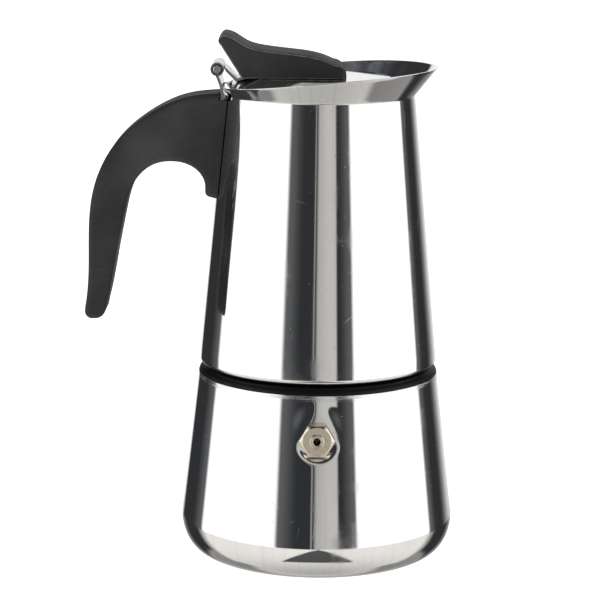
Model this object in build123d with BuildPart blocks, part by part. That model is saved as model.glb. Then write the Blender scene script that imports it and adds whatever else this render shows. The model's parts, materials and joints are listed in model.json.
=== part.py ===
from build123d import *
import os
from math import cos, hypot, radians, sin, tan

# Stove-top moka pot in polished steel with a black handle and knob, screwed together, lid shut.
# Millimetres. Origin on the pot's axis where it stands, +Z up, handle at -X, pouring lip at +X,
# safety valve facing -Y.

# ---- driving dimensions ----------------------------------------------------------------------
WALL = 0.8                 # drawn steel sheet
SEAT_GAP = 0.05            # daylight between faces that rest on each other
PRESS_GAP = 0.02           # daylight between a piece and the hole it is pressed or screwed into
FREE_GAP = 0.3             # daylight round a piece in a loose pocket

# boiler, a cone that narrows upwards over a rounded foot
FOOT_FLAT_R = 41.4
WIDEST_R = 49.9
WIDEST_Z = 13.0
BOILER_TOP_R = 43.7
BOILER_TOP_Z = 66.9

# neck ring, welded on the boiler: rounded shoulder, lip and outside thread
SHOULDER_R = 4.0
SHOULDER_START = 15        # degrees of tilt where the shoulder leaves the cone
NECK_IN_R = 29.3
NECK_OUT_R = 30.2
NECK_TOP_Z = 79.2

# screw thread, right-handed, one ridge on each side
THREAD_PITCH = 4.0
THREAD_DEPTH = 1.0
THREAD_ROOT_W = 1.6
THREAD_CREST_W = 0.8
THREAD_TURNS = 1.35
THREAD_SINK = 0.25         # how far a ridge is buried in its wall
NECK_THREAD_Z = 72.9       # middle of the neck's ridge where it starts, on +X

# collector, the jug on top
COLLECTOR_FOOT_R = 43.3
COLLECTOR_FOOT_Z = 72.15
FOOT_ROLL_R = 2.05         # rounding of the rolled-in lower edge
FOOT_LIP_R = 40.2
CREASE_R = 34.2
CREASE_Z = 168.2
FLARE = 0.8                # radius that the collar gains per unit of height
RIM_BACK = (-36.5, 170.9)  # the rim lies in a slightly crowned plane that rises to the lip
RIM_MIDDLE = (0.0, 175.7)
RIM_LIP = (42.5, 178.6)
COLLAR_TRIM_Z = 181.0
RIM_OVERRUN = 8.0
NOTCH_HALF_W = 10.4        # notch in the collar that lets the hinge bracket through

# collector floor: trough, threaded skirt and raised middle
SKIRT_IN_R = 31.6
SKIRT_WALL = 1.0
HAT_TOP_Z = 84.0
HAT_ROUND = 1.2
COLUMN_HOLE_R = 7.0

# column that the coffee rises through
COLUMN_WALL = 0.7
COLUMN_FOOT_R = 9.0
COLUMN_R = ((7.2, 84.7), (5.4, 98.0), (4.6, 147.0))
OUTLET_Z = 141.0
OUTLET_R = 1.5
OUTLETS = 4
CAP_R = 6.4
CAP_LOW_Z = 138.0
CAP_T = 0.7
CAP_ROUND = 0.6

# gasket, filter plate and funnel
GASKET_R = 31.2
GASKET_IN_R = 27.0
GASKET_Z = (80.3, 83.0)
PLATE_R = 29.0
PLATE_Z = 81.0
PLATE_T = 0.7
PLATE_HOLE_R = 0.6
PLATE_HOLE_STEP = 3.0
BASKET_R = 28.9
BASKET_WALL = 0.6
BASKET_LOW_Z = 59.5
FLANGE_R = 30.3
FLANGE_TOP_Z = 80.0
SOCKET_R = 5.0
SOCKET_Z = (50.0, 51.5)
STEM_R = 4.35
STEM_LOW_Z = 6.0
SCREEN_HOLE_R = 0.8
SCREEN_HOLE_STEP = 4.0

# lid
LID_R = 35.0
LID_T = 0.7
LID_FLAT_R = 25.0
LID_TOP_Z = 174.7
LID_SLOPE = tan(radians(16))
LID_BACK_X = -31.5
LID_FRONT_X = 31.5         # the front is trimmed to a flatter arc, which leaves the pouring gap
LID_FRONT_R = 39.5
KNOB_SCREW_X = (-11.0, 3.0)
KNOB_SCREW_TOP_Z = (181.0, 178.5)
KNOB_SCREW_R = 1.4
KNOB_SCREW_HEAD = (2.8, 1.6)
KNOB_SCREW_SLOT = (4.2, 0.6)
SLOT_DEPTH = 0.8

# lid hinge, its pin along Y
HINGE = (-36.8, 177.7)
PIN_R = 1.5
PIN_CHAMFER = 0.25
PIN_PROUD = 0.3            # how far the pin stands out of the bracket at each end
PIN_RUN = 0.07             # running clearance of the lid's knuckle round the pin
KNUCKLE_R = 2.45
STRIP_T = 1.0
BRACKET_ROUTE = ((-37.55, 175.85), (-36.05, 172.0), (-35.45, 169.0), (-35.45, 166.8))
BRACKET_BEND_R = 1.5
LEAF_DROP = radians(45)    # slant of the leaf between its knuckle and the lid
LEAF_BEND_R = 0.6
HINGE_HALF_W = 10.0
KNUCKLE_HALF_W = 4.8
KNUCKLE_GAP = 0.4
LEAF_HALF_W = 8.0
LEAF_END_X = -25.3
TAIL_HALF_W = 6.0
TAIL_Z = (156.0, 168.1)

# knob on the lid
KNOB_HALF_W = 13.0
KNOB_HEEL_X = -28.0
KNOB_BACK_TOP = (-35.5, 186.4)
KNOB_NOSE = (-36.3, 188.3)
KNOB_TOP = (
    (-34.3, 190.2), (-30.4, 188.8), (-26.9, 186.6), (-20.5, 184.8), (-10.5, 183.6), (-2.0, 182.4),
    (4.4, 180.1))
KNOB_FRONT = (8.5, 177.7)
KNOB_TOE_X = 9.3
KNOB_CROWN = 0.4
KNOB_ROUND = 0.9
KNOB_FRONT_R = 45.0        # rounding of the front, seen from above
KNOB_CORNER_R = 2.8

# handle
HANDLE_HALF_W = 9.5
HANDLE_OUTER = (
    (-30.0, 169.1), (-38.0, 168.9), (-49.2, 167.2), (-60.5, 161.9), (-73.6, 150.5), (-81.7, 133.2),
    (-83.4, 110.0), (-84.8, 91.0))
HANDLE_TIP = ((-85.1, 86.4), (-78.0, 86.6))
HANDLE_INNER = (
    (-77.0, 91.8), (-73.4, 109.7), (-70.4, 125.0), (-66.2, 137.4), (-59.7, 143.1), (-53.0, 144.3),
    (-46.5, 142.8), (-42.3, 139.0), (-41.2, 134.6))
HANDLE_TOOTH = ((-41.2, 131.9), (-30.0, 129.2))
HANDLE_CORNERS = ((HANDLE_TIP[0], 2.6), (HANDLE_TIP[1], 3.8), (HANDLE_TOOTH[0], 2.0))
HANDLE_ROUND = 2.0
HANDLE_NOTCH = (-36.2, 166.5)  # corner cut out of the handle's top below the hinge bracket
SHADOW_GAP = 0.25          # between the handle and the jug
TONGUE_X = (-52.0, -36.4)
TONGUE_HALF_W = 5.0
TONGUE_Z = (148.2, 149.8)
STRAP_Z = (138.0, 153.0)
HANDLE_SCREW_X = -47.0
HANDLE_SCREW_R = 1.9
HANDLE_SCREW_HEAD_R = 3.5
HANDLE_SCREW_SLOT = (5.6, 0.9)
HANDLE_SCREW_ACCESS = 12.0  # run of the hole that lets the head in from below
HANDLE_SCREW_Z = (143.4, 145.6, 154.0)

# safety valve, its axis along -Y; distances out from the pot's axis
VALVE_Z = 51.5
LAND_OUT = 45.0            # flat land pressed into the boiler's wall
LAND_R = 8.0
HEX_AF = 11.0
HEX_OUT = (45.05, 48.05)
HEX_FACE_R = 5.0           # the hexagon's front face, turned down to a cone at its corners
HEX_CHAMFER = tan(radians(30))
BOSS_R = 2.5
BOSS_ROUND = 0.3
BOSS_OUT = 48.85
SHANK_R = 4.0
SHANK_IN = 34.5
BORE_R = 2.4
BORE_OUT = 46.2
VENT_R = 1.3
NUT_AF = 12.0
NUT_OUT = (40.2, 43.1)
WASHER_R = 6.8
WASHER_OUT = (43.15, 44.15)
SEAT_OUT = 36.5
SEAT_HOLE_R = 1.1
POPPET_R = 2.2
POPPET_STEM_R = 0.9
POPPET_ROUND = 0.45
POPPET_OUT = (36.55, 37.75, 46.6)
SPRING_WIRE_R = 0.28
SPRING_R = 1.65
SPRING_TURNS = 6

# ---- sizes that follow -----------------------------------------------------------------------
SHOULDER_C_R = BOILER_TOP_R - SHOULDER_R * cos(radians(SHOULDER_START))
SHOULDER_C_Z = BOILER_TOP_Z - SHOULDER_R * sin(radians(SHOULDER_START))
SHOULDER_TOP_Z = SHOULDER_C_Z + SHOULDER_R
WELD_R = SHOULDER_C_R + (SHOULDER_R - WALL) * cos(radians(SHOULDER_START))
WELD_Z = SHOULDER_C_Z + (SHOULDER_R - WALL) * sin(radians(SHOULDER_START))
TAPER = (COLLECTOR_FOOT_R - CREASE_R) / (CREASE_Z - COLLECTOR_FOOT_Z)
FOOT_LIP_Z = COLLECTOR_FOOT_Z - FOOT_ROLL_R
SKIRT_THREAD_Z = NECK_THREAD_Z - THREAD_PITCH / 4  # half a pitch away, started a quarter turn on
PIN_HALF_L = HINGE_HALF_W + PIN_PROUD
KNOB_LOW_Z = LID_TOP_Z + SEAT_GAP


def jug_r(z):
    """Outside radius of the collector's cone at height z."""
    return CREASE_R + TAPER * (CREASE_Z - z)


def lid_z(r):
    """Height of the lid's top face at radius r."""
    return LID_TOP_Z - max(0.0, r - LID_FLAT_R) * LID_SLOPE


def valve_plane(out):
    """Plane across the valve's axis, facing away from the pot."""
    return Plane(origin=(0, -out, VALVE_Z), x_dir=(1, 0, 0), z_dir=(0, -1, 0))


def turned(*outline):
    """Solid of revolution about Z with a closed outline of (radius, height) corners."""
    with BuildPart() as body:
        with BuildSketch(Plane.XZ):
            with BuildLine():
                Polyline(*outline, close=True)
            make_face()
        revolve(axis=Axis.Z)
    return body.part


def slab(x0, x1, half_w, z0, z1):
    """Block between x0 and x1, half_w to each side of the XZ plane."""
    with BuildPart() as block:
        with BuildSketch(Plane.XY.offset(z0)):
            with Locations(((x0 + x1) / 2, 0)):
                Rectangle(x1 - x0, 2 * half_w)
        extrude(amount=z1 - z0)
    return block.part


def jug_plate(gap, thickness, half_w, z0, z1):
    """Plate bent round the handle's side of the collector, gap away from its wall."""
    blank = turned(
        (jug_r(z0) + gap, z0), (jug_r(z0) + gap + thickness, z0),
        (jug_r(z1) + gap + thickness, z1), (jug_r(z1) + gap, z1))
    window = slab(-2 * CREASE_R, 0, half_w, z0, z1)
    with BuildPart() as plate:
        add(blank)
        add(window, mode=Mode.INTERSECT)
    return plate.part


def thread_ridge(radius, outward, start_z):
    """Helical ridge on a round wall; outward is 1 for an outside thread, -1 for an inside one."""
    with BuildPart() as ridge:
        with BuildLine() as path:
            Helix(THREAD_PITCH, THREAD_PITCH * THREAD_TURNS, radius, center=(0, 0, start_z))
        start = Plane(origin=path.line @ 0, x_dir=(outward, 0, 0), z_dir=path.line % 0)
        with BuildSketch(start):
            with BuildLine():
                Polyline(
                    (-THREAD_SINK, -THREAD_ROOT_W / 2), (THREAD_DEPTH, -THREAD_CREST_W / 2),
                    (THREAD_DEPTH, THREAD_CREST_W / 2), (-THREAD_SINK, THREAD_ROOT_W / 2),
                    close=True)
            make_face()
        sweep(path=path.line, is_frenet=True)
    return ridge.part


def perforated_disc(radius, z, thickness, hole_r, step):
    """Sheet disc with rings of holes, six more in each ring than in the last."""
    with BuildPart() as disc:
        with BuildSketch(Plane.XY.offset(z)):
            Circle(radius)
            Circle(hole_r, mode=Mode.SUBTRACT)
            for ring in range(1, int((radius - step) / step) + 1):
                with PolarLocations(ring * step, 6 * ring):
                    Circle(hole_r, mode=Mode.SUBTRACT)
        extrude(amount=thickness)
    return disc.part


def finish(part, label):
    part.label = label
    export_step(part, f"parts/{label}.step")


os.makedirs("parts", exist_ok=True)


# ---- boiler shell: drawn cone with a rounded foot and a flat land for the valve --------------
def boiler_body(inset, *wall_top):
    """Solid within the boiler's outside moved in by inset, its cone ending at wall_top."""
    with BuildPart() as body:
        with BuildSketch(Plane.XZ):
            with BuildLine():
                floor = Line((0, inset), (FOOT_FLAT_R, inset))
                corner = EllipticalCenterArc(
                    (FOOT_FLAT_R, WIDEST_Z), WIDEST_R - inset - FOOT_FLAT_R, WIDEST_Z - inset,
                    start_angle=270, arc_size=90)
                Polyline(corner @ 1, *wall_top, (0, WELD_Z), floor @ 0)
            make_face()
        revolve(axis=Axis.Z)
        with BuildSketch(valve_plane(LAND_OUT - inset)):
            Circle(LAND_R + inset)
        extrude(amount=LAND_R, mode=Mode.SUBTRACT)
        with BuildSketch(valve_plane(LAND_OUT - inset - LAND_R)):
            Circle(LAND_R - inset)
        extrude(amount=LAND_R)
    return body.part


boiler_outside = boiler_body(0, (BOILER_TOP_R, BOILER_TOP_Z), (WELD_R, WELD_Z))
boiler_inside = boiler_body(WALL, (WELD_R, WELD_Z))
with BuildPart() as boiler_shell:
    add(boiler_outside)
    add(boiler_inside, mode=Mode.SUBTRACT)
    with BuildSketch(valve_plane(SHANK_IN)):
        Circle(SHANK_R + SEAT_GAP)
    extrude(amount=WIDEST_R - SHANK_IN, mode=Mode.SUBTRACT)
finish(boiler_shell.part, "boiler_shell")


# ---- boiler neck: shoulder, lip and outside thread -------------------------------------------
neck_ridge = thread_ridge(NECK_OUT_R, 1, NECK_THREAD_Z)
with BuildPart() as boiler_neck:
    with BuildSketch(Plane.XZ):
        with BuildLine():
            outer = CenterArc(
                (SHOULDER_C_R, SHOULDER_C_Z), SHOULDER_R, SHOULDER_START, 90 - SHOULDER_START)
            inner = CenterArc(
                (SHOULDER_C_R, SHOULDER_C_Z), SHOULDER_R - WALL, SHOULDER_START, 90 - SHOULDER_START)
            Polyline(
                outer @ 1, (NECK_OUT_R, SHOULDER_TOP_Z), (NECK_OUT_R, NECK_TOP_Z),
                (NECK_IN_R, NECK_TOP_Z), (NECK_IN_R, SHOULDER_TOP_Z - WALL), inner @ 1)
            Line(inner @ 0, outer @ 0)
        make_face()
    revolve(axis=Axis.Z)
    add(neck_ridge)
finish(boiler_neck.part, "boiler_neck")


# ---- safety valve ----------------------------------------------------------------------------
turned_r = HEX_AF / 2 / cos(radians(30)) + FREE_GAP
with BuildPart() as valve_body:
    with BuildSketch(valve_plane(HEX_OUT[0])):
        RegularPolygon(HEX_AF / 2, 6, major_radius=False)
    extrude(amount=HEX_OUT[1] - HEX_OUT[0])
    with BuildSketch(Plane.XY.offset(VALVE_Z)):
        with BuildLine():
            Polyline(
                (0, -HEX_OUT[0]), (turned_r, -HEX_OUT[0]),
                (turned_r, (turned_r - HEX_FACE_R) * HEX_CHAMFER - HEX_OUT[1]),
                (HEX_FACE_R, -HEX_OUT[1]), (0, -HEX_OUT[1]), close=True)
        make_face()
    revolve(axis=Axis((0, 0, VALVE_Z), (0, -1, 0)), mode=Mode.INTERSECT)
    with BuildSketch(valve_plane(HEX_OUT[1])):
        Circle(BOSS_R)
    extrude(amount=BOSS_OUT - HEX_OUT[1])
    with BuildSketch(valve_plane(SHANK_IN)):
        Circle(SHANK_R)
    extrude(amount=HEX_OUT[0] - SHANK_IN)
    with BuildSketch(valve_plane(SHANK_IN)):
        Circle(BORE_R)
    extrude(amount=BORE_OUT - SHANK_IN, mode=Mode.SUBTRACT)
    with BuildSketch(valve_plane(SHANK_IN)):
        Circle(VENT_R)
    extrude(amount=BOSS_OUT - SHANK_IN, mode=Mode.SUBTRACT)
    fillet(valve_body.edges().group_by(Axis.Y)[0], BOSS_ROUND)
finish(valve_body.part, "valve_body")

with BuildPart() as valve_washer:
    with BuildSketch(valve_plane(WASHER_OUT[0])):
        Circle(WASHER_R)
        Circle(SHANK_R + SEAT_GAP, mode=Mode.SUBTRACT)
    extrude(amount=WASHER_OUT[1] - WASHER_OUT[0])
finish(valve_washer.part, "valve_washer")

with BuildPart() as valve_nut:
    with BuildSketch(valve_plane(NUT_OUT[0])):
        RegularPolygon(NUT_AF / 2, 6, major_radius=False)
        Circle(SHANK_R + PRESS_GAP, mode=Mode.SUBTRACT)
    extrude(amount=NUT_OUT[1] - NUT_OUT[0])
finish(valve_nut.part, "valve_nut")

with BuildPart() as valve_seat:
    with BuildSketch(valve_plane(SHANK_IN)):
        Circle(BORE_R - PRESS_GAP)
        Circle(SEAT_HOLE_R, mode=Mode.SUBTRACT)
    extrude(amount=SEAT_OUT - SHANK_IN)
finish(valve_seat.part, "valve_seat")

with BuildPart() as valve_poppet:
    with BuildSketch(valve_plane(POPPET_OUT[0])):
        Circle(POPPET_R)
    extrude(amount=POPPET_OUT[1] - POPPET_OUT[0])
    with BuildSketch(valve_plane(POPPET_OUT[1])):
        Circle(POPPET_STEM_R)
    extrude(amount=POPPET_OUT[2] - POPPET_OUT[1])
    fillet(valve_poppet.edges().sort_by(Axis.Y)[0], POPPET_ROUND)
finish(valve_poppet.part, "valve_poppet")

spring_in = POPPET_OUT[1] + SPRING_WIRE_R + SEAT_GAP
spring_length = BORE_OUT - SPRING_WIRE_R - SEAT_GAP - spring_in
with BuildPart() as valve_spring:
    with BuildLine() as coil:
        Helix(
            spring_length / SPRING_TURNS, spring_length, SPRING_R,
            center=(0, -spring_in, VALVE_Z), direction=(0, -1, 0))
    with BuildSketch(Plane(origin=coil.line @ 0, z_dir=coil.line % 0)):
        Circle(SPRING_WIRE_R)
    sweep(path=coil.line, is_frenet=True)
finish(valve_spring.part, "valve_spring")


# ---- funnel: basket, stem and screen ---------------------------------------------------------
basket_in_r = BASKET_R - BASKET_WALL
flange_low_z = NECK_TOP_Z + SEAT_GAP
with BuildPart() as funnel_basket:
    with BuildSketch(Plane.XZ):
        with BuildLine():
            Polyline(
                (FLANGE_R, flange_low_z), (FLANGE_R, FLANGE_TOP_Z), (basket_in_r, FLANGE_TOP_Z),
                (basket_in_r, BASKET_LOW_Z), (SOCKET_R - BASKET_WALL, SOCKET_Z[1]),
                (SOCKET_R - BASKET_WALL, SOCKET_Z[0]), (SOCKET_R, SOCKET_Z[0]),
                (SOCKET_R, SOCKET_Z[1] - BASKET_WALL), (BASKET_R, BASKET_LOW_Z - BASKET_WALL),
                (BASKET_R, flange_low_z), close=True)
        make_face()
    revolve(axis=Axis.Z)
finish(funnel_basket.part, "funnel_basket")

with BuildPart() as funnel_stem:
    with BuildSketch(Plane.XY.offset(STEM_LOW_Z)):
        Circle(STEM_R)
        Circle(STEM_R - BASKET_WALL, mode=Mode.SUBTRACT)
    extrude(amount=SOCKET_Z[1] - STEM_LOW_Z)
finish(funnel_stem.part, "funnel_stem")

funnel_screen = perforated_disc(
    basket_in_r - 2 * SEAT_GAP, BASKET_LOW_Z + SEAT_GAP, BASKET_WALL, SCREEN_HOLE_R,
    SCREEN_HOLE_STEP)
finish(funnel_screen, "funnel_screen")


# ---- gasket and the filter plate that it holds -----------------------------------------------
gasket = turned(
    (GASKET_IN_R, GASKET_Z[0]), (GASKET_R, GASKET_Z[0]), (GASKET_R, GASKET_Z[1]),
    (GASKET_IN_R, GASKET_Z[1]), (GASKET_IN_R, PLATE_Z + PLATE_T + SEAT_GAP),
    (PLATE_R + SEAT_GAP, PLATE_Z + PLATE_T + SEAT_GAP), (PLATE_R + SEAT_GAP, PLATE_Z - SEAT_GAP),
    (GASKET_IN_R, PLATE_Z - SEAT_GAP))
finish(gasket, "gasket")

filter_plate = perforated_disc(PLATE_R, PLATE_Z, PLATE_T, PLATE_HOLE_R, PLATE_HOLE_STEP)
finish(filter_plate, "filter_plate")


# ---- collector shell: jug with a flared collar, cut at a slant -------------------------------
inner_crease_up = WALL * (hypot(1, FLARE) - hypot(1, TAPER)) / (FLARE + TAPER)
inner_crease = (
    CREASE_R - TAPER * inner_crease_up - WALL * hypot(1, TAPER), CREASE_Z + inner_crease_up)
collar_top_r = CREASE_R + FLARE * (COLLAR_TRIM_Z - CREASE_Z)
with BuildPart() as collector_shell:
    with BuildSketch(Plane.XZ):
        with BuildLine():
            roll_c = (COLLECTOR_FOOT_R - FOOT_ROLL_R, COLLECTOR_FOOT_Z)
            outer = CenterArc(roll_c, FOOT_ROLL_R, 270, 90)
            inner = CenterArc(roll_c, FOOT_ROLL_R - WALL, 270, 90)
            Polyline(
                outer @ 1, (CREASE_R, CREASE_Z), (collar_top_r, COLLAR_TRIM_Z),
                (collar_top_r - WALL * hypot(1, FLARE), COLLAR_TRIM_Z), inner_crease, inner @ 1)
            Polyline(
                inner @ 0, (FOOT_LIP_R, FOOT_LIP_Z + WALL), (FOOT_LIP_R, FOOT_LIP_Z), outer @ 0)
        make_face()
    revolve(axis=Axis.Z)
    with BuildSketch(Plane.XZ):
        with BuildLine():
            rim = ThreePointArc(RIM_BACK, RIM_MIDDLE, RIM_LIP)
            back = Line(rim @ 0, rim @ 0 - (rim % 0) * RIM_OVERRUN)
            front = Line(rim @ 1, rim @ 1 + (rim % 1) * RIM_OVERRUN)
            Polyline(
                front @ 1, ((front @ 1).X, COLLAR_TRIM_Z + RIM_OVERRUN),
                ((back @ 1).X, COLLAR_TRIM_Z + RIM_OVERRUN), back @ 1)
        make_face()
    extrude(amount=WIDEST_R, both=True, mode=Mode.SUBTRACT)
    with BuildSketch(Plane.XY.offset(CREASE_Z)):
        with Locations((-CREASE_R, 0)):
            Rectangle(CREASE_R, 2 * NOTCH_HALF_W)
    extrude(amount=COLLAR_TRIM_Z - CREASE_Z, mode=Mode.SUBTRACT)
finish(collector_shell.part, "collector_shell")


# ---- collector floor with the inside thread --------------------------------------------------
skirt_ridge = thread_ridge(SKIRT_IN_R, -1, SKIRT_THREAD_Z)
floor_low_z = FOOT_LIP_Z + WALL
floor_rim_r = COLLECTOR_FOOT_R - FOOT_ROLL_R
with BuildPart() as collector_floor:
    with BuildSketch(Plane.XZ):
        with BuildLine():
            Polyline(
                (SKIRT_IN_R, floor_low_z), (floor_rim_r, floor_low_z),
                (floor_rim_r, floor_low_z + WALL), (SKIRT_IN_R + SKIRT_WALL, floor_low_z + WALL),
                (SKIRT_IN_R + SKIRT_WALL, HAT_TOP_Z), (COLUMN_HOLE_R, HAT_TOP_Z),
                (COLUMN_HOLE_R, HAT_TOP_Z - WALL), (SKIRT_IN_R, HAT_TOP_Z - WALL), close=True)
        hat = make_face()
        fillet(hat.vertices().group_by(Axis.Y)[-1].sort_by(Axis.X)[-1], HAT_ROUND)
    revolve(axis=Axis.Z)
    add(skirt_ridge, rotation=(0, 0, 90))
finish(collector_floor.part, "collector_floor")


# ---- column and its cap ----------------------------------------------------------------------
with BuildPart() as column:
    with BuildSketch(Plane.XZ):
        with BuildLine():
            (foot_r, foot_z), (bend_r, bend_z), (top_r, top_z) = COLUMN_R
            Polyline(
                (foot_r - COLUMN_WALL, HAT_TOP_Z), (COLUMN_FOOT_R, HAT_TOP_Z),
                (COLUMN_FOOT_R, foot_z), (foot_r, foot_z), (bend_r, bend_z), (top_r, top_z),
                (top_r - COLUMN_WALL, top_z), (bend_r - COLUMN_WALL, bend_z), close=True)
        make_face()
    revolve(axis=Axis.Z)
    for turn in range(OUTLETS // 2):
        angle = radians((turn + 0.5) * 360 / OUTLETS)
        across = Plane(
            origin=(0, 0, OUTLET_Z), x_dir=(0, 0, 1), z_dir=(cos(angle), sin(angle), 0))
        with BuildSketch(across):
            Circle(OUTLET_R)
        extrude(amount=CAP_R, both=True, mode=Mode.SUBTRACT)
finish(column.part, "column")

cap_seat_z = COLUMN_R[-1][1] + PRESS_GAP
with BuildPart() as column_cap:
    with BuildSketch(Plane.XZ):
        with BuildLine():
            Polyline(
                (CAP_R - CAP_T, CAP_LOW_Z), (CAP_R, CAP_LOW_Z), (CAP_R, cap_seat_z + CAP_T),
                (0, cap_seat_z + CAP_T), (0, cap_seat_z), (CAP_R - CAP_T, cap_seat_z), close=True)
        make_face()
    revolve(axis=Axis.Z)
    fillet(column_cap.edges().group_by(Axis.Z)[-1], CAP_ROUND)
finish(column_cap.part, "column_cap")


# ---- hinge: bracket on the collector, pin, leaf on the lid -----------------------------------
def pin_plane(y):
    """Plane across the hinge pin's axis at y, facing away from the front."""
    return Plane(origin=(HINGE[0], y, HINGE[1]), x_dir=(1, 0, 0), z_dir=(0, 1, 0))


def hinge_ring(hole_r, y0, y1):
    """Knuckle round the pin's axis from y0 to y1."""
    with BuildPart() as ring:
        with BuildSketch(pin_plane(y0)):
            Circle(KNUCKLE_R)
            Circle(hole_r, mode=Mode.SUBTRACT)
        extrude(amount=y1 - y0)
    return ring.part


def hinge_strip(route, bend_r, half_w):
    """Sheet strip bent along a route in the XZ plane, thickened to the route's left."""
    with BuildPart() as strip:
        with BuildSketch(Plane.XZ):
            with BuildLine():
                FilletPolyline(*route, radius=bend_r)
                offset(amount=STRIP_T, side=Side.LEFT)
            make_face()
        extrude(amount=half_w, both=True)
    return strip.part


def hinge_space(radius, half_w):
    """Round space about the pin's axis."""
    with BuildPart() as space:
        with BuildSketch(pin_plane(-half_w)):
            Circle(radius)
        extrude(amount=2 * half_w)
    return space.part


outer_gap = KNUCKLE_HALF_W + KNUCKLE_GAP
bracket_strip = hinge_strip(BRACKET_ROUTE, BRACKET_BEND_R, HINGE_HALF_W)
bracket_tail = jug_plate(SHADOW_GAP, STRIP_T, TAIL_HALF_W, TAIL_Z[0], TAIL_Z[1])
bracket_rings = [
    hinge_ring(PIN_R + PRESS_GAP, outer_gap, HINGE_HALF_W),
    hinge_ring(PIN_R + PRESS_GAP, -HINGE_HALF_W, -outer_gap)]
knuckle_space = hinge_space(KNUCKLE_R + KNUCKLE_GAP, outer_gap)
pin_space = hinge_space(PIN_R + PRESS_GAP, HINGE_HALF_W)
with BuildPart() as hinge_bracket:
    add(bracket_strip)
    add(bracket_tail)
    add(knuckle_space, mode=Mode.SUBTRACT)
    add(bracket_rings)
    add(pin_space, mode=Mode.SUBTRACT)
finish(hinge_bracket.part, "hinge_bracket")

with BuildPart() as hinge_pin:
    with BuildSketch(pin_plane(-PIN_HALF_L)):
        Circle(PIN_R)
    extrude(amount=2 * PIN_HALF_L)
    chamfer(hinge_pin.edges().filter_by(GeomType.CIRCLE), PIN_CHAMFER)
finish(hinge_pin.part, "hinge_pin")

# the leaf leaves the knuckle at its upper right, drops at a slant and lies down on the lid
leaf_start_x = HINGE[0] + (KNUCKLE_R - STRIP_T) * sin(LEAF_DROP)
leaf_start_z = HINGE[1] + (KNUCKLE_R - STRIP_T) * cos(LEAF_DROP)
leaf_foot_z = lid_z(-LEAF_END_X) + PRESS_GAP
leaf_run = (leaf_start_z - leaf_foot_z + LID_SLOPE * (LEAF_END_X - leaf_start_x)) / (
    sin(LEAF_DROP) + LID_SLOPE * cos(LEAF_DROP))
leaf_bend = (leaf_start_x + leaf_run * cos(LEAF_DROP), leaf_start_z - leaf_run * sin(LEAF_DROP))
leaf_route = ((leaf_start_x, leaf_start_z), leaf_bend, (LEAF_END_X, leaf_foot_z))
leaf_strip = hinge_strip(leaf_route, LEAF_BEND_R, LEAF_HALF_W)
leaf_ring = hinge_ring(PIN_R + PIN_RUN, -KNUCKLE_HALF_W, KNUCKLE_HALF_W)
leaf_tongue = hinge_strip(leaf_route, LEAF_BEND_R, KNUCKLE_HALF_W)
leaf_space = hinge_space(KNUCKLE_R + KNUCKLE_GAP, HINGE_HALF_W)
leaf_pin_space = hinge_space(PIN_R + PIN_RUN, HINGE_HALF_W)
with BuildPart() as lid_leaf:
    add(leaf_strip)
    add(leaf_space, mode=Mode.SUBTRACT)
    add(leaf_tongue)
    add(leaf_ring)
    add(leaf_pin_space, mode=Mode.SUBTRACT)
finish(lid_leaf.part, "lid_leaf")


# ---- lid: shallow cone cut straight beside the hinge -----------------------------------------
with BuildPart() as lid_disc:
    with BuildSketch(Plane.XZ):
        with BuildLine():
            Polyline(
                (0, LID_TOP_Z), (LID_FLAT_R, LID_TOP_Z), (LID_R, lid_z(LID_R)),
                (LID_R, lid_z(LID_R) - LID_T), (LID_FLAT_R, LID_TOP_Z - LID_T),
                (0, LID_TOP_Z - LID_T), close=True)
        make_face()
    revolve(axis=Axis.Z)
    with BuildSketch(Plane.XY.offset(LID_TOP_Z)):
        with Locations((LID_FRONT_X - LID_FRONT_R, 0)):
            Circle(LID_FRONT_R)
    extrude(amount=-LID_R, mode=Mode.INTERSECT)
    split(bisect_by=Plane(origin=(LID_BACK_X, 0, 0), z_dir=(1, 0, 0)), keep=Keep.TOP)
    with BuildSketch(Plane.XY.offset(LID_TOP_Z)):
        with Locations(*[(x, 0) for x in KNOB_SCREW_X]):
            Circle(KNOB_SCREW_R + SEAT_GAP)
    extrude(amount=-LID_T, mode=Mode.SUBTRACT)
finish(lid_disc.part, "lid_disc")

with BuildPart() as knob_screws:
    head_r, head_t = KNOB_SCREW_HEAD
    head_top_z = LID_TOP_Z - LID_T - SEAT_GAP
    for x, top_z in zip(KNOB_SCREW_X, KNOB_SCREW_TOP_Z):
        with BuildSketch(Plane.XY.offset(head_top_z - head_t)):
            with Locations((x, 0)):
                Circle(head_r)
        extrude(amount=head_t)
        with BuildSketch(Plane.XY.offset(head_top_z)):
            with Locations((x, 0)):
                Circle(KNOB_SCREW_R)
        extrude(amount=top_z - head_top_z)
        with BuildSketch(Plane.XY.offset(head_top_z - head_t)):
            with Locations((x, 0)):
                SlotOverall(*KNOB_SCREW_SLOT)
        extrude(amount=SLOT_DEPTH, mode=Mode.SUBTRACT)
finish(knob_screws.part, "knob_screws")


# ---- knob: a nose that leans over the hinge, a crowned top and a rounded front ---------------
def knob_face(y, crown):
    """The knob's side outline at y, its top raised by crown."""
    with BuildSketch(Plane(origin=(0, y, 0), x_dir=(1, 0, 0), z_dir=(0, -1, 0))) as face:
        with BuildLine():
            back = Line((KNOB_HEEL_X, KNOB_LOW_Z), KNOB_BACK_TOP)
            nose = ThreePointArc(back @ 1, KNOB_NOSE, (KNOB_TOP[0][0], KNOB_TOP[0][1] + crown))
            top = Spline(nose @ 1, *[(x, z + crown) for x, z in KNOB_TOP[1:]])
            front = ThreePointArc(top @ 1, KNOB_FRONT, (KNOB_TOE_X, KNOB_LOW_Z))
            Line(front @ 1, back @ 0)
        make_face()
    return face.sketch


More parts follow.
